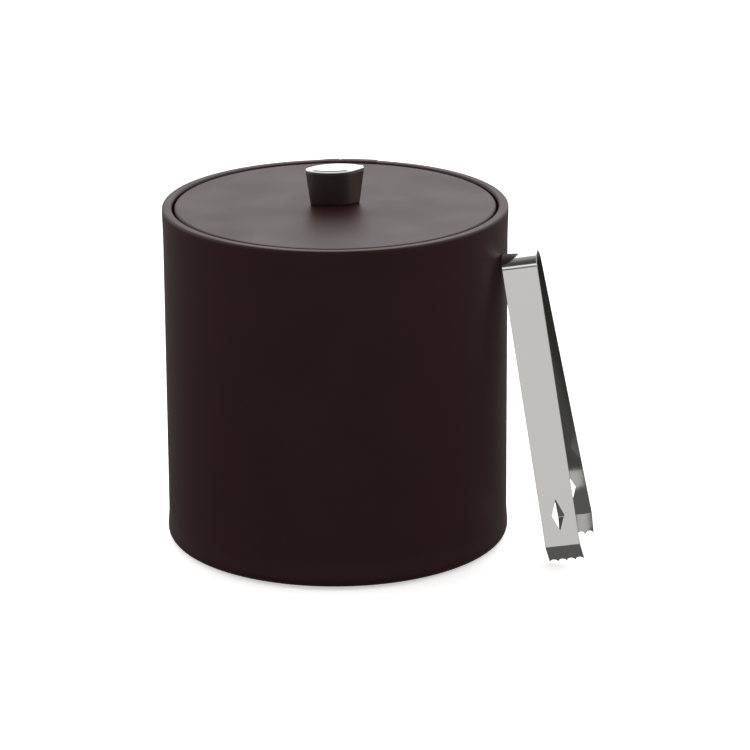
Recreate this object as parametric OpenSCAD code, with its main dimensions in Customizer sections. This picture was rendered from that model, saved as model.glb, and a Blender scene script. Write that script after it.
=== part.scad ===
// Insulated ice bucket with a padded vinyl cover, a lift-off lid and a pair of strip tongs.
// Millimetres, +Z up. The origin is on the bucket's axis, in the plane it stands on.
// The seam of the wall cover is at +Y, and the tongs lean on the wall near +X.

/* [Bucket] */
// Outside diameter of the covered wall
body_d = 203; // [160:1:260]
// Height from the table to the top of the rim
body_h = 204; // [165:1:260]
// Thickness of the vinyl cover on the wall and the lid
cover_t = 0.8; // [0.6:0.1:1.3]
// Thickness of the foam padding under the cover
padding_t = 1; // [0.8:0.1:2.5]
// Thickness of the fibreboard tube inside the wall
tube_t = 2.9; // [2.2:0.1:4]
// How far the cover turns down inside the rim
rim_turn_in = 14; // [12:1:20]
// How far the cover swells out just under the rim
rim_bead = 0.4; // [0:0.1:1]
// How far the cover swells out just above the base
base_bead = 0.6; // [0:0.1:1]
// Width of the cover that turns under the base
base_turn_in = 12; // [8:1:20]
// Thickness of the board that closes the base
base_board_t = 4; // [3:0.5:8]
// How far the base pad stands below the turned-under cover
base_lift = 0.8; // [0.4:0.1:2]

/* [Seam] */
// Width of the folded allowance on the seam's wider side
allowance_wide = 24; // [14:0.5:32]
// Width of the folded allowance on the seam's narrower side
allowance_narrow = 12; // [8:0.5:24]
// How far the folded allowances lift the cover
seam_swell = 0.5; // [0.2:0.1:0.9]
// Width of the groove between the two edges of the cover
seam_groove = 0.6; // [0.4:0.1:1.5]

/* [Liner and insulation] */
// Wall thickness of the moulded liner
liner_t = 2; // [1.5:0.1:3]
// Width of the liner's ledge, which the lid rests on
ledge_w = 14; // [10:1:24]
// How much the liner's radius narrows towards its floor
liner_draft = 5; // [2:0.5:10]
// Radius of the liner's inside floor corner
liner_corner = 10; // [5:1:20]
// Thickness of the foam under the liner
floor_foam_t = 18; // [8:1:30]

/* [Lid] */
// Gap between the lid's edge and the rim
lid_gap = 1.2; // [0.8:0.1:3]
// Thickness of the lid's board
lid_board_t = 4; // [3:0.5:8]
// How much higher the lid's padded top is at its middle
lid_crown = 0.2; // [0.1:0.1:3]
// How far the lid's edge lies below the rim
lid_recess = 0.5; // [0:0.1:2]
// How far the cover turns under the lid
lid_turn_in = 12; // [8:1:16]
// Thickness of the moulded tray under the lid
tray_t = 1.4; // [1:0.1:2]
// How deep the tray's plug reaches into the liner
plug_h = 10; // [8:1:20]
// Gap between the plug and the liner's mouth
plug_gap = 1.2; // [0.6:0.1:3]

/* [Knob] */
// Length of the knob at its top
knob_top_l = 34.7; // [26:0.1:46]
// Width of the knob at its top
knob_top_w = 16.4; // [12:0.1:26]
// Length of the knob at its foot
knob_foot_l = 29.2; // [20:0.1:42]
// Width of the knob at its foot
knob_foot_w = 8.8; // [7.2:0.1:20]
// Height of the knob with its cap
knob_h = 22.6; // [18:0.1:30]
// Thickness of the chrome cap
cap_t = 2.3; // [1.5:0.1:4]
// Angle that the knob's length makes with the X axis
knob_turn = 11.2; // [0:0.1:90]
// Thread diameter of the knob's screw
screw_d = 4; // [3:1:4]

/* [Tongs] */
// Width of the steel strip
strip_w = 20.7; // [15:0.1:28]
// Thickness of the steel strip
strip_t = 1; // [0.8:0.1:1.5]
// Outside radius of the bow at the top
bow_r = 8.6; // [6:0.1:14]
// Angle that each arm makes with the tongs' middle plane
splay = 6.4; // [4:0.1:12]
// Length of each arm from the bow to the jaw's fold
arm_l = 165.7; // [120:0.1:200]
// Length of each jaw beyond the fold
jaw_l = 12.9; // [9:0.1:18]
// Angle that the jaw folds inwards from its arm
jaw_bend = 32.8; // [15:0.1:50]
// Number of gaps between the teeth
tooth_gaps = 4; // [3:1:7]
// Depth of the gaps between the teeth
tooth_h = 2; // [1:0.1:2.4]
// Length of the diamond cut-out along the arm
diamond_l = 18.8; // [10:0.1:26]
// Width of the diamond cut-out across the arm
diamond_w = 7.6; // [4:0.1:11]
// Height of the cut-out's middle above the fold
diamond_up = 18.3; // [16:0.1:40]
// Angle at which the tongs lean on the wall
lean = 10.2; // [6:0.1:18]
// Bearing, from +X, of the place where the tongs touch the wall
lean_at = -16.4; // [-40:0.1:40]
// Bearing, from +X, in which the strip's width points
tongs_turn = -9.4; // [-40:0.1:40]

/* [Hidden] */
$fn = 96;

// Colours
vinyl_brown = [0.22, 0.17, 0.165];
knob_brown = [0.13, 0.11, 0.1];
foam_grey = [0.55, 0.55, 0.53];
fibreboard = [0.62, 0.5, 0.36];
foam_white = [0.95, 0.95, 0.94];
liner_black = [0.07, 0.07, 0.075];
felt_black = [0.09, 0.085, 0.085];
chrome = [0.86, 0.87, 0.88];
zinc = [0.7, 0.71, 0.72];
steel = [0.73, 0.73, 0.72];

// Clearances
slip = 0.1;     // between pieces that slide together at assembly
seat_gap = 0.2; // between the lid and the ledge it rests on
touch_gap = 0.3; // between the tongs and the wall they lean on
flex_gap = 0.3; // between the bow and each arm
eps = 0.01;     // overrun of a cut

// Bucket wall, from the outside in
wall_r = body_d / 2;
tube_out_r = wall_r - cover_t - padding_t;
tube_in_r = tube_out_r - tube_t;
rim_in_r = tube_in_r - cover_t;
rim_round_out = 3;
rim_round_in = 1.8;
rim_bead_h = 20;
base_round = cover_t + padding_t + tube_t + base_bead - 0.3;
base_bead_h = 11;
rim_turn_z = body_h - rim_turn_in;
tube_lo = base_lift + cover_t + 1;
tube_hi = body_h - max(cover_t + padding_t, rim_round_in) - 0.3;
turn_r = wall_r - base_round - base_turn_in;
board_lo = base_lift + cover_t;
board_hi = board_lo + base_board_t;

// Lid, from the top down
lid_r = rim_in_r - lid_gap;
lid_round = 1.8;
lid_top = body_h - lid_recess;
lid_mid = lid_top + lid_crown;
lid_flat_r = lid_r - lid_round;
lid_crown_r = (lid_flat_r * lid_flat_r + lid_crown * lid_crown) / (2 * lid_crown);
lid_board_hi = lid_top - cover_t - padding_t;
lid_board_lo = lid_board_hi - lid_board_t;
lid_under = lid_board_lo - cover_t;
tray_lo = lid_under - tray_t;

// Liner
ledge_z = tray_lo - seat_gap;
ledge_r = rim_in_r - 2 * slip;
mouth_r = ledge_r - ledge_w;
mouth_round = 1.5;
floor_r = mouth_r - liner_draft;
liner_lo = board_hi + floor_foam_t + slip;

// Tray
plug_r = mouth_r - plug_gap;
tray_floor = tray_lo - plug_h;
tray_edge_r = lid_r - 1.5;

// Knob and its screw
knob_tip_r = 1.1;
knob_body_h = knob_h - cap_t;
screw_hole_r = screw_d / 2 + 0.3;
washer_r = screw_d * 1.25;
washer_t = 1;
head_r = screw_d * 0.95;
head_h = screw_d * 0.7;
screw_up = 8;
pocket_gap = 1;

// Tongs, in their own upright frame: X across the strip, Y the way the arms spread
jaw_in = jaw_bend - splay;
tongs_h = bow_r * (1 - sin(splay)) + arm_l * cos(splay) + jaw_l * cos(jaw_in);
tooth_pitch = strip_w / tooth_gaps;
tooth_r = (pow(tooth_pitch / 2, 2) + tooth_h * tooth_h) / (2 * tooth_h);
fold_r = 1.6;

// The bow's edge rises to meet the wall, or an arm meets the rim where the tongs are taller than the bucket
lean_top = tongs_h * cos(lean);
lean_z = min(lean_top, body_h - rim_round_out);
lean_wall_r = wall_r + (lean_z > body_h - rim_round_out - rim_bead_h ? rim_bead : 0);
off_square = tongs_turn - lean_at;
bow_reach = max([for (a = [-90:5:90])
    bow_r * sin(a) * sin(off_square) - bow_r * (1 - cos(a)) * sin(lean) * cos(off_square)
]);
arm_reach = (bow_r + (lean_top - lean_z) * tan(splay)) * abs(sin(off_square));
edge_reach = lean_z < lean_top ? max(bow_reach, arm_reach) : bow_reach;

function reversed(list) = [for (i = [len(list) - 1:-1:0]) list[i]];

// Points of an arc about c, from angle a to angle b
function arc(c, r, a, b, steps = 8) =
    [for (i = [0:steps]) c + r * [cos(a + (b - a) * i / steps), sin(a + (b - a) * i / steps)]];

// A smooth step in radius from r0 at z0 to r1 at z1
function ease(r0, z0, r1, z1, steps = 6) =
    [for (i = [1:steps - 1]) let (s = (1 - cos(180 * i / steps)) / 2)
        [r0 + (r1 - r0) * s, z0 + (z1 - z0) * i / steps]];

// Outline of the cover's outside, d inside it: under the base, up the wall, over the rim, down inside
function wall_line(d) = let (
    base_c = [wall_r + base_bead - base_round, base_lift + base_round],
    rim_c = [wall_r + rim_bead - rim_round_out, body_h - rim_round_out],
    in_c = [rim_in_r + rim_round_in, body_h - rim_round_in]
) concat(
    arc(base_c, base_round - d, -90, 0),
    ease(wall_r + base_bead - d, base_c[1], wall_r - d, base_c[1] + base_bead_h),
    [[wall_r - d, base_c[1] + base_bead_h], [wall_r - d, rim_c[1] - rim_bead_h]],
    ease(wall_r - d, rim_c[1] - rim_bead_h, wall_r + rim_bead - d, rim_c[1]),
    arc(rim_c, rim_round_out - d, 0, 90),
    arc(in_c, rim_round_in - d, 90, 180)
);

// Outline of the lid's top and edge, d inside it, from the middle out and down
function lid_line(d) = let (edge_c = [lid_flat_r, lid_top - lid_round]) concat(
    [for (i = [0:6]) let (r = screw_hole_r + (lid_flat_r - screw_hole_r) * i / 7)
        [r, lid_mid - d - lid_crown_r + sqrt(lid_crown_r * lid_crown_r - r * r)]],
    arc(edge_c, lid_round - d, 90, 0)
);

// A pointed oval of length l and width w, with rounded ends
function pointed_oval(l, w, tip) = let (
    a = l / 2 - tip,
    b = w / 2 - tip,
    big = (a * a + b * b) / (2 * b),
    half = asin(a / big),
    side = arc([0, b - big], big + tip, 90 - half, 90 + half, 16),
    end = arc([-a, 0], tip, 90 + half, 270 - half, 6)
) concat(side, end, -side, -end);

module turned(points, from = 0, sweep = 360) {
    rotate([0, 0, from]) rotate_extrude(angle = sweep) polygon(points);
}

module disc(r, lo, hi) {
    translate([0, 0, lo]) cylinder(r = r, h = hi - lo);
}

module core_tube() {
    color(fibreboard) difference() {
        disc(tube_out_r, tube_lo, tube_hi);
        disc(tube_in_r, tube_lo - eps, tube_hi + eps);
    }
}

// Foam outside the tube, under its foot and over its top
module wall_padding() {
    color(foam_grey) turned(concat(
        [[tube_in_r, base_lift + cover_t]],
        wall_line(cover_t),
        [[tube_in_r, tube_hi], [tube_out_r, tube_hi], [tube_out_r, tube_lo], [tube_in_r, tube_lo]]
    ));
}

// Closed outline of the vinyl
cover_outline = concat(
    [[turn_r, base_lift]],
    wall_line(0),
    [[rim_in_r, rim_turn_z], [rim_in_r + cover_t, rim_turn_z]],
    reversed(wall_line(cover_t)),
    [[turn_r, base_lift + cover_t]]
);

// Closed outline of what a folded allowance adds to the vinyl, which it lifts by seam_swell.
// Inside the rim it ends above the ledge and the turned-in edge.
swell_outline = let (
    foot_r = wall_r - base_round - 2,
    end_z = max(ledge_z, rim_turn_z) + 2 * slip
) concat(
    [[foot_r, base_lift - seam_swell]],
    wall_line(-seam_swell),
    [[rim_in_r - seam_swell, end_z], [rim_in_r + cover_t / 2, end_z]],
    reversed(wall_line(cover_t / 2)),
    [[foot_r, base_lift + cover_t / 2]]
);

// The vinyl is one sheet, and its edges meet at +Y over folded allowances
module wall_cover() {
    groove = asin(seam_groove / 2 / wall_r);
    fold = groove + 0.2;
    wide = allowance_wide / wall_r * 180 / PI;
    narrow = allowance_narrow / wall_r * 180 / PI;
    color(vinyl_brown) union() {
        turned(cover_outline, 90 + groove, 360 - 2 * groove);
        turned(swell_outline, 90 - wide, wide - fold);
        turned(swell_outline, 90 + fold, narrow - fold);
    }
}

module base_board() {
    color(fibreboard) disc(tube_in_r - slip, board_lo, board_hi);
}

module base_pad() {
    color(felt_black) disc(turn_r - slip, 0, board_lo);
}

module base_insulation() {
    color(foam_white) disc(tube_in_r - slip, board_hi, board_hi + floor_foam_t);
}

// Outline of the liner's outside, or of its inside at d = liner_t
function liner_line(d) = let (
    corner = liner_corner + liner_t - d,
    low = liner_lo + d
) concat(
    [[0, low]],
    arc([floor_r - liner_corner, low + corner], corner, -90, 0)
);

module liner() {
    mouth_c = [mouth_r + mouth_round, ledge_z - mouth_round];
    color(liner_black) turned(concat(
        liner_line(0),
        [[mouth_r + liner_t, ledge_z - liner_t - mouth_round]],
        [[mouth_r + liner_t, ledge_z - liner_t], [ledge_r, ledge_z - liner_t], [ledge_r, ledge_z]],
        arc(mouth_c, mouth_round, 90, 180, 4),
        reversed(liner_line(liner_t))
    ));
}

module wall_insulation() {
    lo = board_hi + floor_foam_t;
    hi = ledge_z - liner_t;
    out_r = tube_in_r - slip;
    in_top = mouth_r + liner_t + slip;
    color(foam_white) turned([
        [floor_r + liner_t + slip, lo], [out_r, lo],
        [out_r, rim_turn_z - slip], [ledge_r, rim_turn_z - slip], [ledge_r, hi],
        [in_top, hi], [in_top, hi - mouth_round - slip],
    ]);
}

module lid_cover() {
    edge = lid_r - cover_t;
    color(vinyl_brown) turned(concat(
        lid_line(0),
        [[lid_r, lid_under], [lid_r - lid_turn_in, lid_under], [lid_r - lid_turn_in, lid_board_lo]],
        [[edge, lid_board_lo]],
        reversed(lid_line(cover_t))
    ));
}

module lid_padding() {
    color(foam_grey) turned(concat(
        lid_line(cover_t),
        [[lid_r - cover_t, lid_board_hi], [screw_hole_r, lid_board_hi]]
    ));
}

module lid_board() {
    color(fibreboard) difference() {
        disc(lid_r - cover_t, lid_board_lo, lid_board_hi);
        disc(screw_hole_r, lid_board_lo - eps, lid_board_hi + eps);
    }
}

// Shallow tray: a flange under the turned-in cover, and a plug that centres the lid in the liner
module lid_tray() {
    color(liner_black) difference() {
        union() {
            disc(tray_edge_r, tray_lo, lid_under);
            disc(plug_r, tray_floor, lid_under);
        }
        disc(plug_r - tray_t, tray_floor + tray_t, lid_under + eps);
    }
}

module lid_insulation() {
    color(foam_white) difference() {
        disc(plug_r - tray_t - slip, tray_floor + tray_t, lid_board_lo);
        disc(washer_r + pocket_gap, lid_board_lo - washer_t - head_h - pocket_gap, lid_board_lo + eps);
    }
}

module on_lid() {
    translate([0, 0, lid_mid]) rotate([0, 0, knob_turn]) children();
}

module knob_body() {
    slice = 0.1;
    color(knob_brown) on_lid() difference() {
        hull() {
            linear_extrude(slice) polygon(pointed_oval(knob_foot_l, knob_foot_w, knob_tip_r));
            translate([0, 0, knob_body_h - slice])
                linear_extrude(slice) polygon(pointed_oval(knob_top_l, knob_top_w, knob_tip_r));
        }
        disc(screw_d / 2, -eps, screw_up + 2);
    }
}

module knob_cap() {
    bevel = cap_t / 3;
    color(chrome) on_lid() translate([0, 0, knob_body_h]) hull() {
        linear_extrude(cap_t - bevel) polygon(pointed_oval(knob_top_l, knob_top_w, knob_tip_r));
        linear_extrude(cap_t)
            polygon(pointed_oval(knob_top_l - 2 * bevel, knob_top_w - 2 * bevel, knob_tip_r));
    }
}

module knob_washer() {
    color(zinc) difference() {
        disc(washer_r, lid_board_lo - washer_t, lid_board_lo);
        disc(screw_hole_r, lid_board_lo - washer_t - eps, lid_board_lo + eps);
    }
}

module knob_screw() {
    head_hi = lid_board_lo - washer_t;
    color(zinc) difference() {
        union() {
            disc(head_r, head_hi - head_h, head_hi);
            disc(screw_d / 2 - slip / 2, head_hi - eps, lid_mid + screw_up);
        }
        for (turn = [0, 90]) rotate([0, 0, turn])
            translate([-head_r * 0.6, -0.5, head_hi - head_h - eps]) cube([head_r * 1.2, 1, head_h / 2]);
    }
}

// Puts the upright tongs where they lean: feet on the table, the bow's edge at the wall
module leaning() {
    reach = lean_wall_r + touch_gap + edge_reach;
    translate([reach * cos(lean_at), reach * sin(lean_at), 0])
        rotate([0, 0, tongs_turn])
            translate([lean_z * tan(lean), 0, 0])
                rotate([0, -lean, 0]) children();
}

// The bow is half a ring less the splay at each end
module tongs_bow() {
    color(steel) leaning() translate([0, 0, tongs_h - bow_r])
        rotate([90, 0, 90]) rotate([0, 0, splay])
            rotate_extrude(angle = 180 - 2 * splay)
                translate([bow_r - strip_t, 0]) square([strip_t, strip_w]);
}

// One arm in the arm's own plane: X outwards, Y up along the arm, Z across the strip
module arm_strip() {
    fold_c = [bow_r - fold_r, -arm_l];
    jaw_end = fold_c + fold_r * [cos(-jaw_bend), sin(-jaw_bend)];
    along = [-sin(jaw_bend), -cos(jaw_bend)];
    inwards = -strip_t * [cos(jaw_bend), -sin(jaw_bend)];
    linear_extrude(strip_w) polygon(concat(
        [[bow_r - strip_t, -flex_gap], [bow_r - strip_t, -arm_l]],
        arc(fold_c, fold_r - strip_t, 0, -jaw_bend, 5),
        [jaw_end + inwards + jaw_l * along, jaw_end + jaw_l * along],
        reversed(arc(fold_c, fold_r, 0, -jaw_bend, 5)),
        [[bow_r, -flex_gap]]
    ));
}

module arm() {
    difference() {
        arm_strip();
        translate([0, diamond_up - arm_l, strip_w / 2]) rotate([0, 90, 0])
            linear_extrude(bow_r + 1) polygon([
                [-diamond_w / 2, 0], [0, diamond_l / 2], [diamond_w / 2, 0], [0, -diamond_l / 2],
            ]);
        translate([bow_r, -arm_l, 0]) rotate([0, 0, -jaw_bend])
            for (i = [0:tooth_gaps - 1])
                translate([-4 * strip_t, tooth_h - tooth_r - jaw_l, (i + 0.5) * tooth_pitch])
                    rotate([0, 90, 0]) cylinder(r = tooth_r, h = 8 * strip_t);
    }
}

module placed_arm() {
    color(steel) leaning() children();
}

module rear_arm_upright() {
    translate([0, 0, tongs_h - bow_r]) rotate([90, 0, 90]) rotate([0, 0, splay]) arm();
}

module tongs_rear_arm() {
    placed_arm() rear_arm_upright();
}

module tongs_front_arm() {
    placed_arm() mirror([0, 1, 0]) rear_arm_upright();
}

core_tube();
wall_padding();
wall_cover();
base_board();
base_pad();
base_insulation();
wall_insulation();
liner();
lid_board();
lid_padding();
lid_cover();
lid_insulation();
lid_tray();
knob_body();
knob_cap();
knob_screw();
knob_washer();
tongs_bow();
tongs_front_arm();
tongs_rear_arm();
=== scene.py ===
import math

import bmesh
import bpy
from mathutils import Matrix, Vector


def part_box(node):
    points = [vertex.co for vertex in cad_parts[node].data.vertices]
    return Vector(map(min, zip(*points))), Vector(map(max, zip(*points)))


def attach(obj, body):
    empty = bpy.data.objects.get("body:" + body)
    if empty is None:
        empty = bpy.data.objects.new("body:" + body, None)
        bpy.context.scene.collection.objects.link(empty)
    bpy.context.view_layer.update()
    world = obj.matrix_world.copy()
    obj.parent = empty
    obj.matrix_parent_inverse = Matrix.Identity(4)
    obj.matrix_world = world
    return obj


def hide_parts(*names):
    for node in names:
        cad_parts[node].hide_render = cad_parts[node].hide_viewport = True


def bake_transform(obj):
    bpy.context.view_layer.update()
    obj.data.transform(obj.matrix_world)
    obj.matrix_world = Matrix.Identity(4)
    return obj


bl_info = {
    "name": "Padded ice bucket",
    "version": (1, 0, 0),
    "blender": (4, 5, 0),
    "location": "View3D > Sidebar > Ice bucket",
    "description": "Dresses the packed ice bucket and its tongs, and sets the studio around them",
    "category": "Object",
}

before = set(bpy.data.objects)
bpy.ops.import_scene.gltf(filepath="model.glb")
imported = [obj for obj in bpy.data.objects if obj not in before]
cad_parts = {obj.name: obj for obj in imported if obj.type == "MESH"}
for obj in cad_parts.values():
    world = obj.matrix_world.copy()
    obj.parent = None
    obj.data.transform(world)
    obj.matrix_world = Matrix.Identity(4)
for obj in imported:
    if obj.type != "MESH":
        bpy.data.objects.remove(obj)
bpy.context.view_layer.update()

MM = 0.001
PADDING_LOW, PADDING_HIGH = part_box("wall_padding")
LID_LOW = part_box("lid_cover")[0]
KNOB_LOW, KNOB_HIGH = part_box("knob_body")
CAP_LOW, CAP_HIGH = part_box("knob_cap")
BOW_LOW, BOW_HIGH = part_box("tongs_bow")

# The bucket's sizes that its boxes give, once the bead at the base is taken off
COVER_T = 0.8 * MM
BASE_BEAD = 0.6 * MM
WALL_R = -PADDING_LOW[0] + COVER_T - BASE_BEAD
RIM_Z = PADDING_HIGH[2] + COVER_T
LID_R = -LID_LOW[0]
FOLD_STEP = 2 * MM  # over which the leatherette steps down at the end of a fold


# ---------------------------------------------------------------- shared tools

def length(name, description, default, **more):
    """A size property. Its default is in metres."""
    return bpy.props.FloatProperty(
        name=name, description=description, default=default, unit="LENGTH", precision=5, **more
    )


def angle(name, description, degrees):
    """An angle property. Its default is in degrees."""
    return bpy.props.FloatProperty(
        name=name, description=description, default=math.radians(degrees), unit="ROTATION"
    )


def colour(name, description, hex_code):
    """A colour property, kept as an sRGB hex value."""
    return bpy.props.StringProperty(name=name, description=description, default=hex_code)


def linear(hex_code):
    """The linear RGBA of an sRGB hex value such as #a0b0c0."""
    parts = [int(hex_code.lstrip("#")[i:i + 2], 16) / 255 for i in (0, 2, 4)]
    return [p / 12.92 if p <= 0.04045 else ((p + 0.055) / 1.055) ** 2.4 for p in parts] + [1.0]


def add(tree, kind, inputs=None, **settings):
    """Adds one node. inputs maps a socket's name or number to a value, or to a socket that feeds it."""
    made = tree.nodes.new(kind)
    for name, value in settings.items():
        setattr(made, name, value)
    for name, value in (inputs or {}).items():
        if isinstance(value, bpy.types.NodeSocket):
            tree.links.new(value, made.inputs[name])
        else:
            made.inputs[name].default_value = value
    return made


def new_material(name):
    """An empty node material and its tree."""
    material = bpy.data.materials.new(name)
    material.use_nodes = True
    material.node_tree.nodes.clear()
    return material, material.node_tree


def finish_material(tree, shader):
    """Joins a shader to the material's output."""
    add(tree, "ShaderNodeOutputMaterial", {"Surface": shader.outputs[0]})


def cells_per_metre(size_mm):
    """A texture's scale that gives features of this size, on coordinates in metres."""
    return 1000.0 / size_mm


def new_object(name, mesh):
    """Links a mesh as a new object of the scene."""
    obj = bpy.data.objects.new(name, mesh)
    bpy.context.scene.collection.objects.link(obj)
    return obj


def mesh_from(bm, name):
    """Cleans a bmesh up, makes its faces smooth, and turns it into a mesh."""
    bmesh.ops.remove_doubles(bm, verts=bm.verts, dist=1e-7)
    bmesh.ops.recalc_face_normals(bm, faces=bm.faces)
    for face in bm.faces:
        face.smooth = True
    mesh = bpy.data.meshes.new(name)
    bm.to_mesh(mesh)
    bm.free()
    mesh.set_sharp_from_angle(angle=math.radians(40))
    return mesh


def dress(obj, material, slot, body, *replaced):
    """Gives a piece its material, rides it on a body, and hides the nodes it stands for. slot is not
    used.
    """
    obj.data.materials.clear()
    obj.data.materials.append(material)
    if body:
        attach(obj, body)
    if replaced:
        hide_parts(*replaced)


def arc(centre, radius, start, end, steps):
    """Points of an arc in degrees, both ends included."""
    turns = [math.radians(start + (end - start) * i / steps) for i in range(steps + 1)]
    return [(centre[0] + radius * math.cos(a), centre[1] + radius * math.sin(a)) for a in turns]


def smooth(t):
    """0 to 1 with level ends, for t from 0 to 1 and beyond."""
    t = max(0.0, min(1.0, t))
    return t * t * (3 - 2 * t)


def turned(name, outline, bearings, raise_by=None):
    """A mesh that turns a closed (radius, height) outline about the Z axis.

    raise_by(index, bearing) is how far that point of the outline moves along its outward normal."""
    count = len(outline)
    normals = []
    for i in range(count):
        before, after = outline[i - 1], outline[(i + 1) % count]
        way = Vector((after[1] - before[1], before[0] - after[0]))
        normals.append(way.normalized() if way.length > 1e-9 else Vector((1.0, 0.0)))
    bm = bmesh.new()
    rings = []
    for bearing in bearings:
        ring = []
        for i, (radius, height) in enumerate(outline):
            lift = raise_by(i, bearing) if raise_by else 0.0
            r, z = radius + normals[i].x * lift, height + normals[i].y * lift
            ring.append(bm.verts.new((r * math.cos(bearing), r * math.sin(bearing), z)))
        rings.append(ring)
    for a, b in zip(rings, rings[1:] + rings[:1]):
        for i in range(count):
            j = (i + 1) % count
            bm.faces.new((a[i], a[j], b[j], b[i]))
    return mesh_from(bm, name)


# ------------------------------------------------------------------- materials

def leatherette(hex_code):
    """PVC leatherette, calendered over foam: a smooth, nearly black brown that is dull face on,
    with a soft sheen at low angles, a faint pebbled grain and slow changes of gloss."""
    material, tree = new_material("pvc_leatherette_calendered")
    place = add(tree, "ShaderNodeTexCoord").outputs["Object"]
    # The real grain is about 0.3 mm and too fine to show, so its pebbles are drawn at 0.8 mm
    pebbles = add(tree, "ShaderNodeTexVoronoi", {
        "Vector": place, "Scale": cells_per_metre(0.8), "Randomness": 0.9,
    }, feature="SMOOTH_F1")
    pores = add(tree, "ShaderNodeTexNoise", {
        "Vector": place, "Scale": cells_per_metre(0.5), "Detail": 2.0,
    })
    # Foam under the sheet lets it lie in slow waves, about 35 mm from crest to crest
    waves = add(tree, "ShaderNodeTexNoise", {
        "Vector": place, "Scale": cells_per_metre(35), "Detail": 1.0,
    })
    grain = add(tree, "ShaderNodeBump", {
        "Strength": 0.35, "Distance": 0.02 * MM, "Height": pebbles.outputs["Distance"],
    })
    relief = add(tree, "ShaderNodeBump", {
        "Strength": 0.25, "Distance": 0.02 * MM, "Height": pores.outputs["Fac"],
        "Normal": grain.outputs[0],
    })
    sag = add(tree, "ShaderNodeBump", {
        "Strength": 0.25, "Distance": 0.4 * MM, "Height": waves.outputs["Fac"],
        "Normal": relief.outputs[0],
    })
    gloss = add(tree, "ShaderNodeMapRange", {
        "Value": waves.outputs["Fac"], "From Min": 0.3, "From Max": 0.7,
        "To Min": 0.46, "To Max": 0.52,
    })
    tint = add(tree, "ShaderNodeMix", {
        "Factor": waves.outputs["Fac"], "A": linear(hex_code), "B": linear("#261210"),
    }, data_type="RGBA")
    shader = add(tree, "ShaderNodeBsdfPrincipled", {
        "Base Color": tint.outputs["Result"], "Roughness": gloss.outputs[0],
        "Normal": sag.outputs[0],
    })
    shader.inputs["IOR"].default_value = 1.5
    shader.inputs["Specular IOR Level"].default_value = 0.14
    finish_material(tree, shader)
    return material


def plated_knob(hex_code):
    """ABS, plated in dark bronze and brushed round: a dim satin metal, on which lights spread into soft
    upright bands."""
    material, tree = new_material("abs_plated_bronze_brushed")
    place = add(tree, "ShaderNodeTexCoord").outputs["Object"]
    # Brush lines run round the knob, so the pattern is squeezed forty to one along Z. Real lines
    # are about 0.05 mm apart, and are drawn at 0.3 mm so that they show.
    level = add(tree, "ShaderNodeMapping", {"Vector": place, "Scale": (0.025, 0.025, 1.0)})
    lines = add(tree, "ShaderNodeTexNoise", {
        "Vector": level.outputs[0], "Scale": cells_per_metre(0.3), "Detail": 1.0,
    })
    gloss = add(tree, "ShaderNodeMapRange", {
        "Value": lines.outputs["Fac"], "To Min": 0.36, "To Max": 0.42,
    })
    shader = add(tree, "ShaderNodeBsdfPrincipled", {
        "Base Color": linear(hex_code), "Metallic": 1.0, "Roughness": gloss.outputs[0],
        "Anisotropic": 0.9, "Anisotropic Rotation": 0.25,
    })
    finish_material(tree, shader)
    return material


def polished_metal(name, hex_code, roughness, line_mm, line_depth_mm, coordinates):
    """Metal, polished along its length: mirror-like, with faint lines that smear reflections along it.

    coordinates is UV for a strip, where V runs along it, or Object for a solid piece."""
    material, tree = new_material(name)
    place = add(tree, "ShaderNodeTexCoord").outputs[coordinates]
    # Polishing lines are far longer than wide, so the pattern is stretched fifty to one along V
    stretched = add(tree, "ShaderNodeMapping", {
        "Vector": place, "Scale": (1.0, 0.02, 1.0),
    })
    lines = add(tree, "ShaderNodeTexNoise", {
        "Vector": stretched.outputs[0], "Scale": cells_per_metre(line_mm), "Detail": 2.0,
    })
    relief = add(tree, "ShaderNodeBump", {
        "Strength": 0.3, "Distance": line_depth_mm * MM, "Height": lines.outputs["Fac"],
    })
    gloss = add(tree, "ShaderNodeMapRange", {
        "Value": lines.outputs["Fac"], "To Min": roughness * 0.8, "To Max": roughness * 1.2,
    })
    shader = add(tree, "ShaderNodeBsdfPrincipled", {
        "Base Color": linear(hex_code), "Metallic": 1.0, "Roughness": gloss.outputs[0],
        "Normal": relief.outputs[0],
    })
    finish_material(tree, shader)
    return material


def moulded_liner():
    """Polystyrene, moulded and glossy: near black, with the slight orange peel of a mould's flow."""
    material, tree = new_material("polystyrene_moulded_gloss")
    place = add(tree, "ShaderNodeTexCoord").outputs["Object"]
    peel = add(tree, "ShaderNodeTexNoise", {
        "Vector": place, "Scale": cells_per_metre(2.5), "Detail": 1.0,
    })
    relief = add(tree, "ShaderNodeBump", {
        "Strength": 0.25, "Distance": 0.03 * MM, "Height": peel.outputs["Fac"],
    })
    gloss = add(tree, "ShaderNodeMapRange", {
        "Value": peel.outputs["Fac"], "To Min": 0.2, "To Max": 0.28,
    })
    shader = add(tree, "ShaderNodeBsdfPrincipled", {
        "Base Color": linear("#131314"), "Roughness": gloss.outputs[0], "Normal": relief.outputs[0],
        "IOR": 1.59,
    })
    finish_material(tree, shader)
    return material


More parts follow.
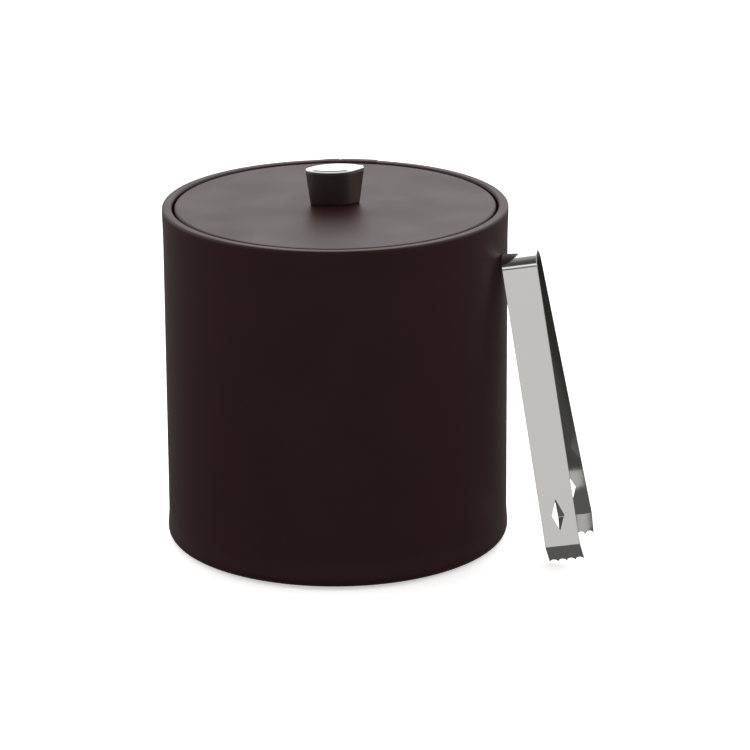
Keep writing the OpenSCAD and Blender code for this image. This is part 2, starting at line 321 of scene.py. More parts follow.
def foam(name, hex_code, groove_shade_code, cell_mm):
    """Foam, expanded or slabstock: matt and pale, with rounded cells that show as a faint pebbling, and
    painted shade that darkens each cell towards the grooves between cells.
    """
    material, tree = new_material(name)
    place = add(tree, "ShaderNodeTexCoord").outputs["Object"]
    cells = add(tree, "ShaderNodeTexVoronoi", {"Vector": place, "Scale": cells_per_metre(cell_mm)})
    # Painted shade: the colour darkens from each cell's middle towards the grooves, where the bump sinks
    tint = add(tree, "ShaderNodeMix", {
        "Factor": cells.outputs["Distance"], "A": linear(hex_code), "B": linear(groove_shade_code),
    }, data_type="RGBA")
    relief = add(tree, "ShaderNodeBump", {
        "Strength": 0.6, "Distance": 0.1 * cell_mm * MM, "Height": cells.outputs["Distance"],
    })
    relief.invert = True
    shader = add(tree, "ShaderNodeBsdfPrincipled", {
        "Base Color": tint.outputs["Result"], "Roughness": 0.9, "Normal": relief.outputs[0],
        "IOR": 1.45,
    })
    finish_material(tree, shader)
    return material


def fibreboard():
    """Grey-brown board, wound or pressed from pulp: matt, with short fibres and darker flecks."""
    material, tree = new_material("fibreboard_pressed")
    place = add(tree, "ShaderNodeTexCoord").outputs["Object"]
    long_way = add(tree, "ShaderNodeMapping", {"Vector": place, "Scale": (1.0, 1.0, 0.2)})
    fibres = add(tree, "ShaderNodeTexNoise", {
        "Vector": long_way.outputs[0], "Scale": cells_per_metre(0.6), "Detail": 4.0,
    })
    tint = add(tree, "ShaderNodeMix", {
        "Factor": fibres.outputs["Fac"], "A": linear("#8a7357"), "B": linear("#5f4c36"),
    }, data_type="RGBA")
    relief = add(tree, "ShaderNodeBump", {
        "Strength": 0.5, "Distance": 0.05 * MM, "Height": fibres.outputs["Fac"],
    })
    shader = add(tree, "ShaderNodeBsdfPrincipled", {
        "Base Color": tint.outputs["Result"], "Roughness": 0.85, "Normal": relief.outputs[0],
    })
    finish_material(tree, shader)
    return material


def cellular_rubber():
    """Cellular rubber sheet, cut to a disc: black and matt, with fine open pores that grip the table."""
    material, tree = new_material("rubber_cellular_sheet")
    place = add(tree, "ShaderNodeTexCoord").outputs["Object"]
    pores = add(tree, "ShaderNodeTexVoronoi", {"Vector": place, "Scale": cells_per_metre(0.7)})
    relief = add(tree, "ShaderNodeBump", {
        "Strength": 0.7, "Distance": 0.1 * MM, "Height": pores.outputs["Distance"],
    })
    wear = add(tree, "ShaderNodeTexNoise", {"Vector": place, "Scale": cells_per_metre(20)})
    tint = add(tree, "ShaderNodeMix", {
        "Factor": wear.outputs["Fac"], "A": linear("#191818"), "B": linear("#262423"),
    }, data_type="RGBA")
    shader = add(tree, "ShaderNodeBsdfPrincipled", {
        "Base Color": tint.outputs["Result"], "Roughness": 0.88, "Normal": relief.outputs[0],
    })
    finish_material(tree, shader)
    return material


def zinc_plate():
    """Steel, zinc plated: grey metal with a soft bluish gloss that mottles slightly."""
    material, tree = new_material("steel_zinc_plated")
    place = add(tree, "ShaderNodeTexCoord").outputs["Object"]
    mottle = add(tree, "ShaderNodeTexNoise", {"Vector": place, "Scale": cells_per_metre(1.5)})
    gloss = add(tree, "ShaderNodeMapRange", {
        "Value": mottle.outputs["Fac"], "To Min": 0.25, "To Max": 0.45,
    })
    tint = add(tree, "ShaderNodeMix", {
        "Factor": mottle.outputs["Fac"], "A": linear("#b9bcc1"), "B": linear("#a3a8ae"),
    }, data_type="RGBA")
    shader = add(tree, "ShaderNodeBsdfPrincipled", {
        "Base Color": tint.outputs["Result"], "Metallic": 1.0, "Roughness": gloss.outputs[0],
    })
    finish_material(tree, shader)
    return material


def opal_table(hex_code):
    """Opal acrylic, sheet, lit from below: a matt white light table, on which shadows stay faint."""
    material, tree = new_material("acrylic_opal_lit")
    place = add(tree, "ShaderNodeTexCoord").outputs["Object"]
    # The lamps under the sheet are evenly spread, and show only as a change of a few per cent
    lamps = add(tree, "ShaderNodeTexNoise", {
        "Vector": place, "Scale": cells_per_metre(400), "Detail": 0.0,
    })
    glow = add(tree, "ShaderNodeMapRange", {
        "Value": lamps.outputs["Fac"], "To Min": 0.5, "To Max": 0.55,
    })
    shader = add(tree, "ShaderNodeBsdfPrincipled", {
        "Base Color": linear(hex_code), "Roughness": 0.9, "Specular IOR Level": 0.1,
        "Emission Color": linear(hex_code), "Emission Strength": glow.outputs[0],
    })
    finish_material(tree, shader)
    return material


# -------------------------------------------------------------------- settings

class WallSettings(bpy.types.PropertyGroup):
    """The leatherette round the wall, and its seam."""
    rim_round: length("Rim edge", "Rounding of the rim's outer edge", 1.5 * MM)
    rim_inner_round: length("Rim inner edge", "Rounding of the rim's inner edge", 1.8 * MM)
    rim_width: length("Rim width", "Width of the rim, from wall to opening", 5.5 * MM)
    rim_bead: length("Rim bead", "How far the cover swells under the rim", 0.4 * MM)
    rim_bead_height: length("Rim bead height", "Height over which that swelling fades", 20 * MM)
    turn_in: length("Turn-in", "How far the cover goes down inside the rim", 14 * MM)
    base_round: length("Base edge", "Rounding of the lower edge", 5.0 * MM)
    base_bead: length("Base bead", "How far the cover swells above the base", BASE_BEAD)
    base_bead_height: length("Base bead height", "Height over which that swelling fades", 11 * MM)
    base_turn_in: length("Base turn-in", "Width of the cover turned under the base", 12 * MM)
    base_lift: length("Base lift", "Height of the turned-under cover above the table", 0.8 * MM)
    seam_swell: length("Seam swell", "How far the folded allowances lift the cover", 0.5 * MM)
    wide_fold: length("Wide fold", "Width of the allowance on the seam's +X side", 24 * MM)
    narrow_fold: length("Narrow fold", "Width of the allowance on its -X side", 17 * MM)
    groove: length("Groove", "Half width of the groove where the edges meet", 0.35 * MM)
    seam_depth: length("Groove depth", "Depth of that groove below the swell", 0.55 * MM)
    colour: colour("Leatherette", "Colour of the leatherette", "#2b1413")


class LidSettings(bpy.types.PropertyGroup):
    """The leatherette over the lid."""
    edge_round: length("Edge", "Rounding of the lid's upper edge", 1.8 * MM)
    top: length("Edge height", "Height of the lid's flat edge above the table", RIM_Z - 0.5 * MM)
    crown: length("Crown", "How much higher the lid's middle is than its edge", 0.2 * MM)
    turn_in: length("Turn-in", "Width of the cover turned under the lid", 12 * MM)
    hole: length("Hole", "Radius of the screw's hole", 2.3 * MM)


class KnobSettings(bpy.types.PropertyGroup):
    """The knob and its cap."""
    foot_length: length("Foot length", "Length of the knob at its foot", 29.2 * MM)
    foot_width: length("Foot width", "Width of the knob at its foot", 8.8 * MM)
    top_length: length("Top length", "Length of the knob at its top", 34.7 * MM)
    top_width: length("Top width", "Width of the knob at its top", 16.4 * MM)
    tip_round: length("Tip", "Rounding of the knob's pointed ends", 1.1 * MM)
    cap_round: length("Cap edge", "Rounding of the cap's upper edge", 1.3 * MM)
    cap_slope: angle("Cap slope", "How far the cap's side leans inwards", 6.0)
    turn: angle("Turn", "Angle of the knob's length from the X axis", 11.2)
    colour: colour("Body", "Colour of the knob's body", "#4c433f")
    cap_colour: colour("Cap", "Colour of the knob's chromed cap", "#dfe0e2")


class TongsSettings(bpy.types.PropertyGroup):
    """The steel strip that the tongs are bent from."""
    width: length("Width", "Width of the strip", 20.7 * MM)
    thickness: length("Thickness", "Thickness of the strip", 1.0 * MM)
    edge_round: length("Edge", "Rounding of the strip's edges", 0.16 * MM)
    bow_radius: length("Bow", "Outside radius of the bow", 8.6 * MM)
    splay: angle("Splay", "Angle of each arm to the middle plane", 6.4)
    arm_length: length("Arm", "Length of an arm from bow to fold", 165.7 * MM)
    jaw_length: length("Jaw", "Length of a jaw beyond its fold", 12.9 * MM)
    jaw_bend: angle("Jaw bend", "Angle that the jaw folds inwards", 32.8)
    fold_radius: length("Fold", "Outside radius of the fold", 1.6 * MM)
    tooth_gaps: bpy.props.IntProperty(name="Tooth gaps", description="Gaps between teeth", default=4)
    tooth_depth: length("Teeth", "Depth of the gaps between teeth", 2.0 * MM)
    diamond_length: length("Diamond length", "Length of the cut-out", 18.8 * MM)
    diamond_width: length("Diamond width", "Width of the cut-out", 7.6 * MM)
    diamond_up: length("Diamond height", "Middle of the cut-out above the fold", 18.3 * MM)
    lean: angle("Lean", "Angle at which the tongs lean on the wall", 10.2)
    turn: angle("Turn", "Bearing of the strip's width", -9.4)
    flex: length("Flex", "Length of arm over which it bends when squeezed", 60 * MM)
    colour: colour("Steel", "Colour of the polished steel", "#bdbcba")


# The studio's brightness round the bucket, as (angle over it in degrees, share of the brightest):
# a bright wall behind, a soft ceiling, a dim front with one light strip, and a dim table
STUDIO_BANDS = (
    (-180, 0.56), (-166, 0.5), (-150, 0.08), (-20, 0.1), (-3, 0.5), (3, 0.8), (62, 0.8), (86, 0.36),
    (112, 0.14), (126, 0.06), (151, 0.05), (154, 0.85), (164, 0.75), (170, 0.08), (177, 0.08),
    (180, 0.64),
)


class StageSettings(bpy.types.PropertyGroup):
    """Camera, floor and light."""
    bearing: angle("Bearing", "Camera's bearing from -Y towards +X", 2.0)
    height: angle("Height", "Camera's angle above the table", 17.99)
    distance: length("Distance", "Camera's distance from the bucket's middle", 2.2909)
    aim: length("Aim", "Height of the point that the distance is taken from", 0.1015)
    pan: angle("Pan", "How far the camera looks to the right of that point", 0.60)
    tilt: angle("Tilt", "How far the camera looks below that point", 0.09)
    roll: angle("Roll", "Camera's roll", -0.341)
    lens: bpy.props.FloatProperty(name="Lens", description="Focal length in mm", default=184.5)
    floor_colour: colour("Floor", "Colour of the floor", "#f4f3f2")
    floor_size: length("Floor size", "Side of the floor", 12.0)
    sky_bright: bpy.props.FloatProperty(name="Bright", description="World behind and above", default=1.95)
    key_power: bpy.props.FloatProperty(
        name="Softbox", description="Power of the overhead softbox", default=1.3, unit="POWER"
    )
    side_power: bpy.props.FloatProperty(
        name="Side panels", description="Power of each side panel", default=1.7, unit="POWER"
    )
    back_power: bpy.props.FloatProperty(
        name="Back panel", description="Power of the panel behind", default=4.0, unit="POWER"
    )


# --------------------------------------------------------------- bucket's skin

def wall_outline(s):
    """The cover's closed outline, and how many of its points are on the outside."""
    base = (WALL_R + s.base_bead - s.base_round, s.base_lift + s.base_round)
    rim = (WALL_R + s.rim_bead - s.rim_round, RIM_Z - s.rim_round)
    mouth = WALL_R - s.rim_width
    inner = (mouth + s.rim_inner_round, RIM_Z - s.rim_inner_round)

    def line(inset):
        """The outer line moved in by inset, from under the base to inside the rim."""
        points = arc(base, s.base_round - inset, -90, 0, 12)
        for i in range(1, 13):
            z = base[1] + s.base_bead_height * i / 12
            points.append((WALL_R + s.base_bead * (1 - smooth(i / 12)) - inset, z))
        low, high = points[-1][1], rim[1] - s.rim_bead_height
        points += [(WALL_R - inset, low + (high - low) * i / 24) for i in range(1, 25)]
        for i in range(1, 17):
            z = high + s.rim_bead_height * i / 16
            points.append((WALL_R + s.rim_bead * smooth(i / 16) - inset, z))
        points += arc(rim, s.rim_round - inset, 0, 90, 12)[1:]
        points += arc(inner, s.rim_inner_round - inset, 90, 180, 10)
        return points

    turn_r = WALL_R - s.base_round - s.base_turn_in
    down = RIM_Z - s.turn_in
    outer = [(turn_r, s.base_lift)] + line(0.0) + [(mouth, down)]
    under = [(turn_r, s.base_lift + COVER_T)] + line(COVER_T) + [(mouth + COVER_T, down)]
    return outer + under[::-1], len(outer)


def seam_bearings(fine=0.25 * MM, middling=0.75 * MM, coarse=3.0 * MM):
    """Bearings round the wall: close together at the seam, wider over its folds, and coarse elsewhere."""
    seam_reach, fold_reach = 3 * MM, 30 * MM
    distance, steps = 0.0, [0.0]
    while distance < math.pi * WALL_R:
        if distance < seam_reach:
            step = fine
        elif distance < fold_reach:
            step = middling
        else:
            step = coarse
        distance += step
        steps.append(distance)
    half = [d / WALL_R for d in steps if d / WALL_R < math.pi - 0.5 * coarse / WALL_R]
    seam = math.pi / 2
    return [seam - b for b in reversed(half[1:])] + [seam + b for b in half]


class ICE_OT_wall(bpy.types.Operator):
    """Make the seamed leatherette round the wall"""
    bl_idname = "ice.wall"
    bl_label = "Wall cover"

    def execute(self, context):
        s = context.scene.ice_wall
        outline, outer_count = wall_outline(s)

        def raise_by(index, bearing):
            if index >= outer_count:
                return 0.0
            along = (bearing - math.pi / 2) * WALL_R
            if along < 0:  # the folded allowance ends in a clear step on this side
                fold = 1 - smooth((-along - s.wide_fold + FOLD_STEP) / FOLD_STEP)
            else:          # and tapers away slowly on this one
                fold = 1 - smooth((along - 0.25 * s.narrow_fold) / (0.75 * s.narrow_fold))
            dip = 1 - smooth(abs(along) / (2 * s.groove))
            return s.seam_swell * fold - s.seam_depth * dip

        mesh = turned("wall_leatherette", outline, seam_bearings(), raise_by)
        cover = new_object("wall_leatherette", mesh)
        dress(cover, leatherette(s.colour), "vinyl", "bucket", "wall_cover")
        return {"FINISHED"}


class ICE_OT_lid(bpy.types.Operator):
    """Make the leatherette over the lid"""
    bl_idname = "ice.lid"
    bl_label = "Lid cover"

    def execute(self, context):
        s = context.scene.ice_lid
        flat = LID_R - s.edge_round
        low = LID_LOW[2]

        def line(inset):
            """The cover's outside moved in by inset, from the hole to the lower edge."""
            points = []
            for i in range(24):
                share = i / 24
                r = s.hole + (flat - s.hole) * share
                points.append((r, s.top + s.crown * (1 - share * share) - inset))
            points += arc((flat, s.top - s.edge_round), s.edge_round - inset, 90, 0, 12)
            return points

        outer = line(0.0) + [(LID_R, low), (LID_R - s.turn_in, low)]
        under = low + COVER_T
        inner = line(COVER_T) + [(LID_R - COVER_T, under), (LID_R - s.turn_in, under)]
        bearings = [2 * math.pi * i / 256 for i in range(256)]
        mesh = turned("lid_leatherette", (outer + inner[::-1])[::-1], bearings)
        cover = new_object("lid_leatherette", mesh)
        dress(cover, bpy.data.materials["pvc_leatherette_calendered"], "vinyl", "lid", "lid_cover")
        return {"FINISHED"}


# ------------------------------------------------------------------------ knob

def pointed_oval(full_length, full_width, tip, steps=40, tip_steps=10):
    """Points of a pointed oval with rounded ends, anticlockwise."""
    a, b = full_length / 2 - tip, full_width / 2 - tip
    big = (a * a + b * b) / (2 * b)
    half = math.degrees(math.asin(a / big))
    side = arc((0.0, b - big), big + tip, 90 - half, 90 + half, steps)
    end = arc((-a, 0.0), tip, 90 + half, 270 - half, tip_steps)
    points = side + end[1:-1]
    return points + [(-x, -y) for x, y in points]


def stacked(name, levels, turn):
    """A closed mesh through a stack of like outlines. levels is a list of (outline, height)."""
    bm = bmesh.new()
    c, s = math.cos(turn), math.sin(turn)
    rings = [
        [bm.verts.new((c * x - s * y, s * x + c * y, height)) for x, y in outline]
        for outline, height in levels
    ]
    count = len(rings[0])
    for low, high in zip(rings, rings[1:]):
        for i in range(count):
            j = (i + 1) % count
            bm.faces.new((low[i], low[j], high[j], high[i]))
    for ring in (rings[0], rings[-1]):
        middle = bm.verts.new(sum((v.co for v in ring), Vector()) / count)
        for i in range(count):
            bm.faces.new((ring[i], ring[(i + 1) % count], middle))
    return mesh_from(bm, name)


class ICE_OT_knob(bpy.types.Operator):
    """Make the knob and its chromed cap"""
    bl_idname = "ice.knob"
    bl_label = "Knob"

    def execute(self, context):
        s = context.scene.ice_knob
        crown = 0.05 * MM       # of the cap's top
        body_edge = 0.6 * MM    # rounding of the body's two edges
        cap_lower = 0.2 * MM    # rounding of the cap's lower edge
        least_tip = 0.2 * MM
        low, high = KNOB_LOW[2], KNOB_HIGH[2]

        def body_outline(share, inset):
            """The body's outline at a share of its height, moved in by inset."""
            full_length = s.foot_length + (s.top_length - s.foot_length) * share - 2 * inset
            full_width = s.foot_width + (s.top_width - s.foot_width) * share - 2 * inset
            return pointed_oval(full_length, full_width, max(s.tip_round - inset, least_tip))

        levels = []
        for x, z in arc((body_edge, body_edge), body_edge, 270, 180, 4):
            levels.append((body_outline(z / (high - low), x), low + z))
        levels += [(body_outline(i / 12, 0.0), low + (high - low) * i / 12) for i in range(1, 12)]
        for x, z in arc((body_edge, -body_edge), body_edge, 180, 90, 4):
            levels.append((body_outline(1.0, x), high + z))
        body = new_object("knob_body_satin", stacked("knob_body_satin", levels, s.turn))
        dress(body, plated_knob(s.colour), "knob", "lid", "knob_body")

        levels = []
        for x, z in arc((cap_lower, cap_lower), cap_lower, 270, 180, 3):
            levels.append((body_outline(1.0, x), CAP_LOW[2] + z))
        edge_z = CAP_HIGH[2] - crown
        lean_in = (edge_z - s.cap_round - CAP_LOW[2]) * math.tan(s.cap_slope)
        slope = math.degrees(s.cap_slope)
        for x, z in arc((s.cap_round, -s.cap_round), s.cap_round, 180 - slope, 90, 10):
            levels.append((body_outline(1.0, lean_in + x), edge_z + z))
        flat = levels[-1][0]
        for share in (0.96, 0.85, 0.65, 0.4, 0.15):
            rise = crown * (1 - share * share)
            levels.append(([(x * share, y * share) for x, y in flat], edge_z + rise))
        cap = new_object("knob_cap_chromed", stacked("knob_cap_chromed", levels, s.turn))
        chrome = polished_metal("chrome_plated_polished", s.cap_colour, 0.06, 0.8, 0.001, "Object")
        dress(cap, chrome, "chrome", "lid", "knob_cap")
        return {"FINISHED"}


# ----------------------------------------------------------------------- tongs

def strip_path(s, with_bow):
    """The strip's outside surface in the arm's own plane, with X outwards and Y up along the arm.

    Each entry is (point, outward normal, distance below the bow, share of the jaw, 0 above it)."""
    rows = []
    if with_bow:
        sweep = math.pi - 2 * s.splay
        for i in range(72):
            a = sweep * (1 - i / 72)
            n = Vector((math.cos(a), math.sin(a)))
            rows.append((s.bow_radius * n, n, -a * s.bow_radius, 0.0))
    out = Vector((1.0, 0.0))
    diamond = s.arm_length - s.diamond_up
    half = s.diamond_length / 2
    downs = [(diamond - half) * i / 34 for i in range(35)]
    downs += [diamond - half + s.diamond_length * i / 24 for i in range(1, 25)]
    rest = s.arm_length - diamond - half
    downs += [diamond + half + rest * i / 4 for i in range(1, 5)]
    rows += [(Vector((s.bow_radius, -d)), out, d, 0.0) for d in downs]
    fold = Vector((s.bow_radius - s.fold_radius, -s.arm_length))
    for i in range(1, 9):
        a = -s.jaw_bend * i / 8
        n = Vector((math.cos(a), math.sin(a)))
        rows.append((fold + s.fold_radius * n, n, s.arm_length, 0.0))
    start, n = rows[-1][0], rows[-1][1]
    along = Vector((-math.sin(s.jaw_bend), -math.cos(s.jaw_bend)))
    straight = s.jaw_length - s.fold_radius * math.sin(s.jaw_bend)
    for i in range(1, 9):
        rows.append((start + straight * i / 8 * along, n, s.arm_length, i / 8))
    return rows


def strip_rows(s, with_bow, columns=32):
    """Rows of (left side, right side, whether the cut-out lies between them).

    A side is a list of (outside point, inside point, place on the flat strip), and its points have
    X outwards, Y up and Z across the strip."""
    pitch = s.width / s.tooth_gaps
    tooth_r = ((pitch / 2) ** 2 + s.tooth_depth ** 2) / (2 * s.tooth_depth)
    along_jaw = Vector((-math.sin(s.jaw_bend), -math.cos(s.jaw_bend)))
    diamond = s.arm_length - s.diamond_up
    rows = []
    travelled, last = 0.0, None
    for point, normal, down, jaw in strip_path(s, with_bow):
        travelled += (point - last).length if last is not None else 0.0
        last = point
        open_share = max(0.0, 1 - abs(down - diamond) / (s.diamond_length / 2)) if jaw == 0 else 0.0
        gap = s.diamond_width / 2 * open_share
        if gap < 1e-6:  # at the cut-out's two points
            gap = 0.0
        sides = []
        for sign in (-1, 1):
            side = []
            for i in range(columns // 2 + 1):
                share = i / (columns / 2)
                z = sign * (s.width / 2 * (1 - share) + gap * share)
                off = (z + s.width / 2) % pitch - pitch / 2
                bite = math.sqrt(max(0.0, tooth_r ** 2 - off ** 2)) - (tooth_r - s.tooth_depth)
                p = point - along_jaw * (max(0.0, bite) * jaw)
                q = p - normal * s.thickness
                side.append(((p.x, p.y, z), (q.x, q.y, z), (z, travelled)))
            sides.append(side)
        rows.append((sides[0], sides[1], gap > 0))
    return rows


def strip_mesh(s, name, with_bow, to_row):
    """A closed mesh of the strip with its cut-out and teeth. to_row takes a point to the row's frame."""
    bm = bmesh.new()
    uv = bm.loops.layers.uv.new("UVMap")
    flat = {}

    def vert(co, place):
        v = bm.verts.new(to_row(co))
        flat[v] = place
        return v

    def face(*corners):
        made = []
        for v in corners:
            if v not in made:
                made.append(v)
        if len(made) < 3:
            return
        f = bm.faces.new(made)
        for loop in f.loops:
            loop[uv].uv = flat[loop.vert]

    grid = []
    for left, right, is_open in strip_rows(s, with_bow):
        outs, ins = [], []
        for side in (left, right):
            outs.append([vert(p, place) for p, _, place in side])
            ins.append([vert(q, place) for _, q, place in side])
        if not is_open:  # one vertex where the two halves meet
            for layer in (outs, ins):
                bm.verts.remove(layer[1][-1])
                layer[1][-1] = layer[0][-1]
        grid.append((outs, ins, is_open))
    for (outs_a, ins_a, open_a), (outs_b, ins_b, open_b) in zip(grid, grid[1:]):
        for side in (0, 1):
            for layer_a, layer_b in ((outs_a[side], outs_b[side]), (ins_a[side], ins_b[side])):
                for i in range(len(layer_a) - 1):
                    face(layer_a[i], layer_a[i + 1], layer_b[i + 1], layer_b[i])
            face(outs_a[side][0], ins_a[side][0], ins_b[side][0], outs_b[side][0])
            if open_a or open_b:
                face(outs_a[side][-1], ins_a[side][-1], ins_b[side][-1], outs_b[side][-1])
    for outs, ins, _ in (grid[0], grid[-1]):
        for side in (0, 1):
            for i in range(len(outs[side]) - 1):
                face(outs[side][i], outs[side][i + 1], ins[side][i + 1], ins[side][i])
    return mesh_from(bm, name)


def lean_matrix(s):
    """The move that takes the upright tongs to where they lean, and the upright tongs' height.

    The place comes from the bow node's own box."""
    tall = (s.bow_radius * (1 - math.sin(s.splay)) + s.arm_length * math.cos(s.splay)
            + s.jaw_length * math.cos(s.jaw_bend - s.splay))
    turned_by = Matrix.Rotation(s.turn, 4, "Z") @ Matrix.Rotation(-s.lean, 4, "Y")
    bow = [
        turned_by @ Vector((x, s.bow_radius * math.cos(a), tall - s.bow_radius * (1 - math.sin(a))))
        for x in (0.0, s.width)
        for a in [math.radians(d) for d in range(10, 171, 2)]
    ]
    shift = Vector((
        BOW_HIGH[0] - max(p.x for p in bow),
        (BOW_HIGH[1] + BOW_LOW[1]) / 2 - (max(p.y for p in bow) + min(p.y for p in bow)) / 2,
        0.0,
    ))
    return Matrix.Translation(shift) @ turned_by, tall


class ICE_OT_tongs(bpy.types.Operator):
    """Make the tongs as two lengths of one bent strip"""
    bl_idname = "ice.tongs"
    bl_label = "Tongs"

    def execute(self, context):
        s = context.scene.ice_tongs
        leaning, tall = lean_matrix(s)
        steel = polished_metal("stainless_strip_polished", s.colour, 0.1, 0.35, 0.004, "UV")
        for name, body, nodes, mirror in (
            ("tongs_front_strip", "front_arm", ("tongs_bow", "tongs_front_arm"), -1),
            ("tongs_rear_strip", "rear_arm", ("tongs_rear_arm",), 1),
        ):
            def to_row(p, mirror=mirror):
                x = math.cos(s.splay) * p[0] - math.sin(s.splay) * p[1]
                y = math.sin(s.splay) * p[0] + math.cos(s.splay) * p[1]
                upright = Vector((p[2] + s.width / 2, mirror * x, y + tall - s.bow_radius))
                return leaning @ upright

            mesh = strip_mesh(s, name, mirror < 0, to_row)
            strip = new_object(name, mesh)
            bevel = strip.modifiers.new("edges", "BEVEL")
            bevel.width, bevel.segments = s.edge_round, 2
            bevel.limit_method, bevel.angle_limit = "ANGLE", math.radians(50)
            bevel.harden_normals = True
            graph = context.evaluated_depsgraph_get()
            final = bpy.data.meshes.new_from_object(strip.evaluated_get(graph))
            strip.modifiers.clear()
            strip.data = final
            dress(strip, steel, "steel", None, *nodes)
            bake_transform(strip)
        return {"FINISHED"}


# ---------------------------------------------------------------- other pieces

class ICE_OT_inside(bpy.types.Operator):
    """Give the liner, the insulation, the boards and the fasteners their materials"""
    bl_idname = "ice.inside"
    bl_label = "Inside and underside"

    def execute(self, context):
        liner, board = moulded_liner(), fibreboard()
        padding = foam("polyurethane_foam_slabstock", "#8d8d89", "#5e5e5b", 0.8)
        beads = foam("polystyrene_foam_expanded", "#f1f1ee", "#c4c5c3", 3.5)
        rubber, zinc = cellular_rubber(), zinc_plate()
        finishes = {
            "liner": liner, "lid_tray": liner,
            "core_tube": board, "base_board": board, "lid_board": board,
            "wall_padding": padding, "lid_padding": padding,
            "base_insulation": beads, "wall_insulation": beads, "lid_insulation": beads,
            "base_pad": rubber, "knob_screw": zinc, "knob_washer": zinc,
        }
        for name, material in finishes.items():
            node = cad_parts[name]
            for slot in node.material_slots:
                slot.material = material
            if not node.material_slots:
                raise RuntimeError(f"{name} has no material slot to fill")
        return {"FINISHED"}


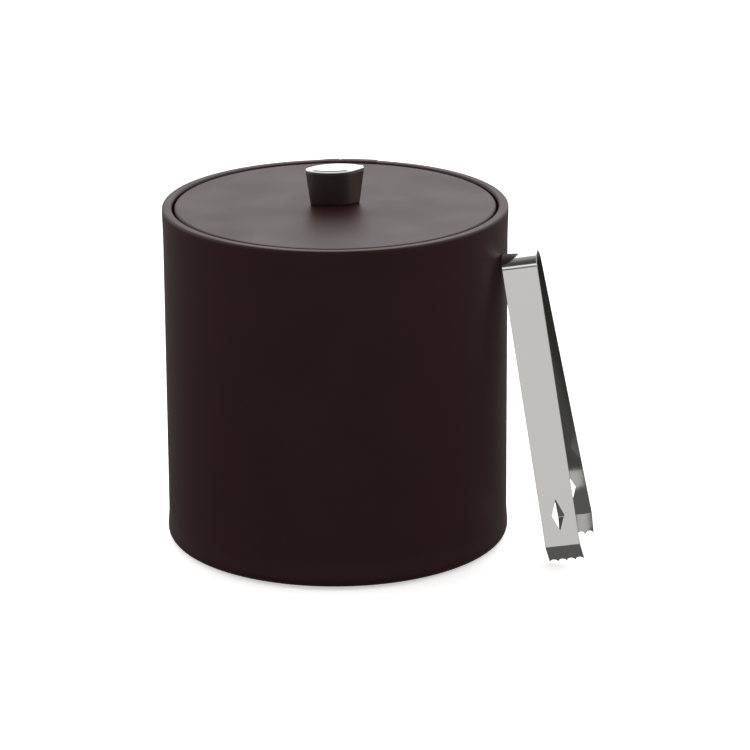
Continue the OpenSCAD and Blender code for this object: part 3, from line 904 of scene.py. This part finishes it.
class ICE_OT_stage(bpy.types.Operator):
    """Set the floor, the light and the camera"""
    bl_idname = "ice.stage"
    bl_label = "Studio"

    def execute(self, context):
        s = context.scene.ice_stage
        self.floor(s)
        self.light(context, s)
        self.camera(context, s)
        return {"FINISHED"}

    def floor(self, s):
        bm = bmesh.new()
        bmesh.ops.create_grid(bm, x_segments=1, y_segments=1, size=s.floor_size / 2)
        mesh = bpy.data.meshes.new("floor")
        bm.to_mesh(mesh)
        bm.free()
        floor = new_object("floor", mesh)
        floor.location.z = -0.1 * MM
        mesh.materials.append(opal_table(s.floor_colour))
        # The object is lit and mirrored by the studio's dim table, not by the white sheet
        floor.visible_glossy = floor.visible_diffuse = False
        bm = bmesh.new()
        circle = arc((0.0, 0.0), s.floor_size / 2, 0, 358, 179)
        bottom, top = -0.2, 4.0
        rings = [[bm.verts.new((x, y, z)) for x, y in circle] for z in (bottom, top)]
        for i, (a, b) in enumerate(zip(*rings)):
            bm.faces.new((a, rings[0][i - 1], rings[1][i - 1], b))
        mesh = bpy.data.meshes.new("backdrop")
        bm.to_mesh(mesh)
        bm.free()
        backdrop = new_object("backdrop", mesh)
        mesh.materials.append(floor.data.materials[0])
        for ray in ("diffuse", "glossy", "transmission", "shadow"):
            setattr(backdrop, f"visible_{ray}", False)  # it closes the view off and takes no light away

    def light(self, context, s):
        world = bpy.data.worlds.new("studio")
        world.use_nodes = True
        tree = world.node_tree
        tree.nodes.clear()
        direction = add(tree, "ShaderNodeTexCoord").outputs["Generated"]
        split = add(tree, "ShaderNodeSeparateXYZ", {0: direction})
        # The angle over the bucket: 0 at the back, 90 overhead, 180 at the front, negative below
        over = add(tree, "ShaderNodeMath", {
            0: split.outputs["Z"], 1: split.outputs["Y"],
        }, operation="ARCTAN2")
        share = add(tree, "ShaderNodeMapRange", {
            "Value": over.outputs[0], "From Min": -math.pi, "From Max": math.pi,
        })
        bands = add(tree, "ShaderNodeValToRGB", {"Fac": share.outputs[0]})
        elements = bands.color_ramp.elements
        for degrees, level in STUDIO_BANDS[1:-1]:
            elements.new((degrees + 180) / 360).color = (level, level, level, 1.0)
        for element, (_, level) in ((elements[0], STUDIO_BANDS[0]), (elements[-1], STUDIO_BANDS[-1])):
            element.color = (level, level, level, 1.0)
        sky = add(tree, "ShaderNodeBackground", {"Color": bands.outputs[0], "Strength": s.sky_bright})
        add(tree, "ShaderNodeOutputWorld", {"Surface": sky.outputs[0]})
        context.scene.world = world
        for name, size, power, place in (
            ("softbox", (0.7, 0.4), s.key_power, (0.0, 0.28, 0.72)),
            ("left_panel", (0.5, 0.5), s.side_power, (-0.65, -0.15, 0.5)),
            ("right_panel", (0.5, 0.5), s.side_power, (0.65, -0.15, 0.5)),
            ("back_panel", (1.0, 0.7), s.back_power, (0.2, 1.0, 0.9)),
        ):
            panel = bpy.data.lights.new(name, "AREA")
            panel.shape, panel.size, panel.size_y = "RECTANGLE", *size
            panel.energy = power
            lamp = bpy.data.objects.new(name, panel)
            lamp.location = place
            lamp.visible_camera = False
            to_bucket = Vector((0.0, 0.0, 0.1)) - lamp.location
            lamp.rotation_euler = to_bucket.to_track_quat("-Z", "Y").to_euler()
            context.scene.collection.objects.link(lamp)

    def camera(self, context, s):
        data = bpy.data.cameras.new("camera")
        data.sensor_width, data.lens = 36.0, s.lens
        camera = bpy.data.objects.new("camera", data)
        flat = s.distance * math.cos(s.height)
        spot = Vector((
            flat * math.sin(s.bearing), -flat * math.cos(s.bearing),
            s.aim + s.distance * math.sin(s.height),
        ))
        camera.matrix_world = (
            Matrix.Translation(spot)
            @ Matrix.Rotation(s.bearing - s.pan, 4, "Z")
            @ Matrix.Rotation(math.pi / 2 - s.height - s.tilt, 4, "X")
            @ Matrix.Rotation(s.roll, 4, "Z")
        )
        context.scene.collection.objects.link(camera)
        context.scene.camera = camera
        context.scene.view_settings.view_transform = "Standard"


class ICE_PT_panel(bpy.types.Panel):
    """Lists the steps that dress the bucket"""
    bl_idname = "ICE_PT_panel"
    bl_label = "Ice bucket"
    bl_space_type = "VIEW_3D"
    bl_region_type = "UI"
    bl_category = "Ice bucket"

    def draw(self, context):
        for step in STEPS:
            self.layout.operator(step.bl_idname)


STEPS = (ICE_OT_stage, ICE_OT_wall, ICE_OT_lid, ICE_OT_knob, ICE_OT_tongs, ICE_OT_inside)
SETTINGS = {
    "ice_wall": WallSettings,
    "ice_lid": LidSettings,
    "ice_knob": KnobSettings,
    "ice_tongs": TongsSettings,
    "ice_stage": StageSettings,
}


def register():
    for cls in (*SETTINGS.values(), *STEPS, ICE_PT_panel):
        bpy.utils.register_class(cls)
    for name, cls in SETTINGS.items():
        setattr(bpy.types.Scene, name, bpy.props.PointerProperty(type=cls))


def unregister():
    for name in SETTINGS:
        delattr(bpy.types.Scene, name)
    for cls in (ICE_PT_panel, *reversed(STEPS), *reversed(SETTINGS.values())):
        bpy.utils.unregister_class(cls)


def main():
    register()
    for step in STEPS:
        name = step.bl_idname.split(".")[1]
        getattr(bpy.ops.ice, name)()


if __name__ == "__main__":
    main()
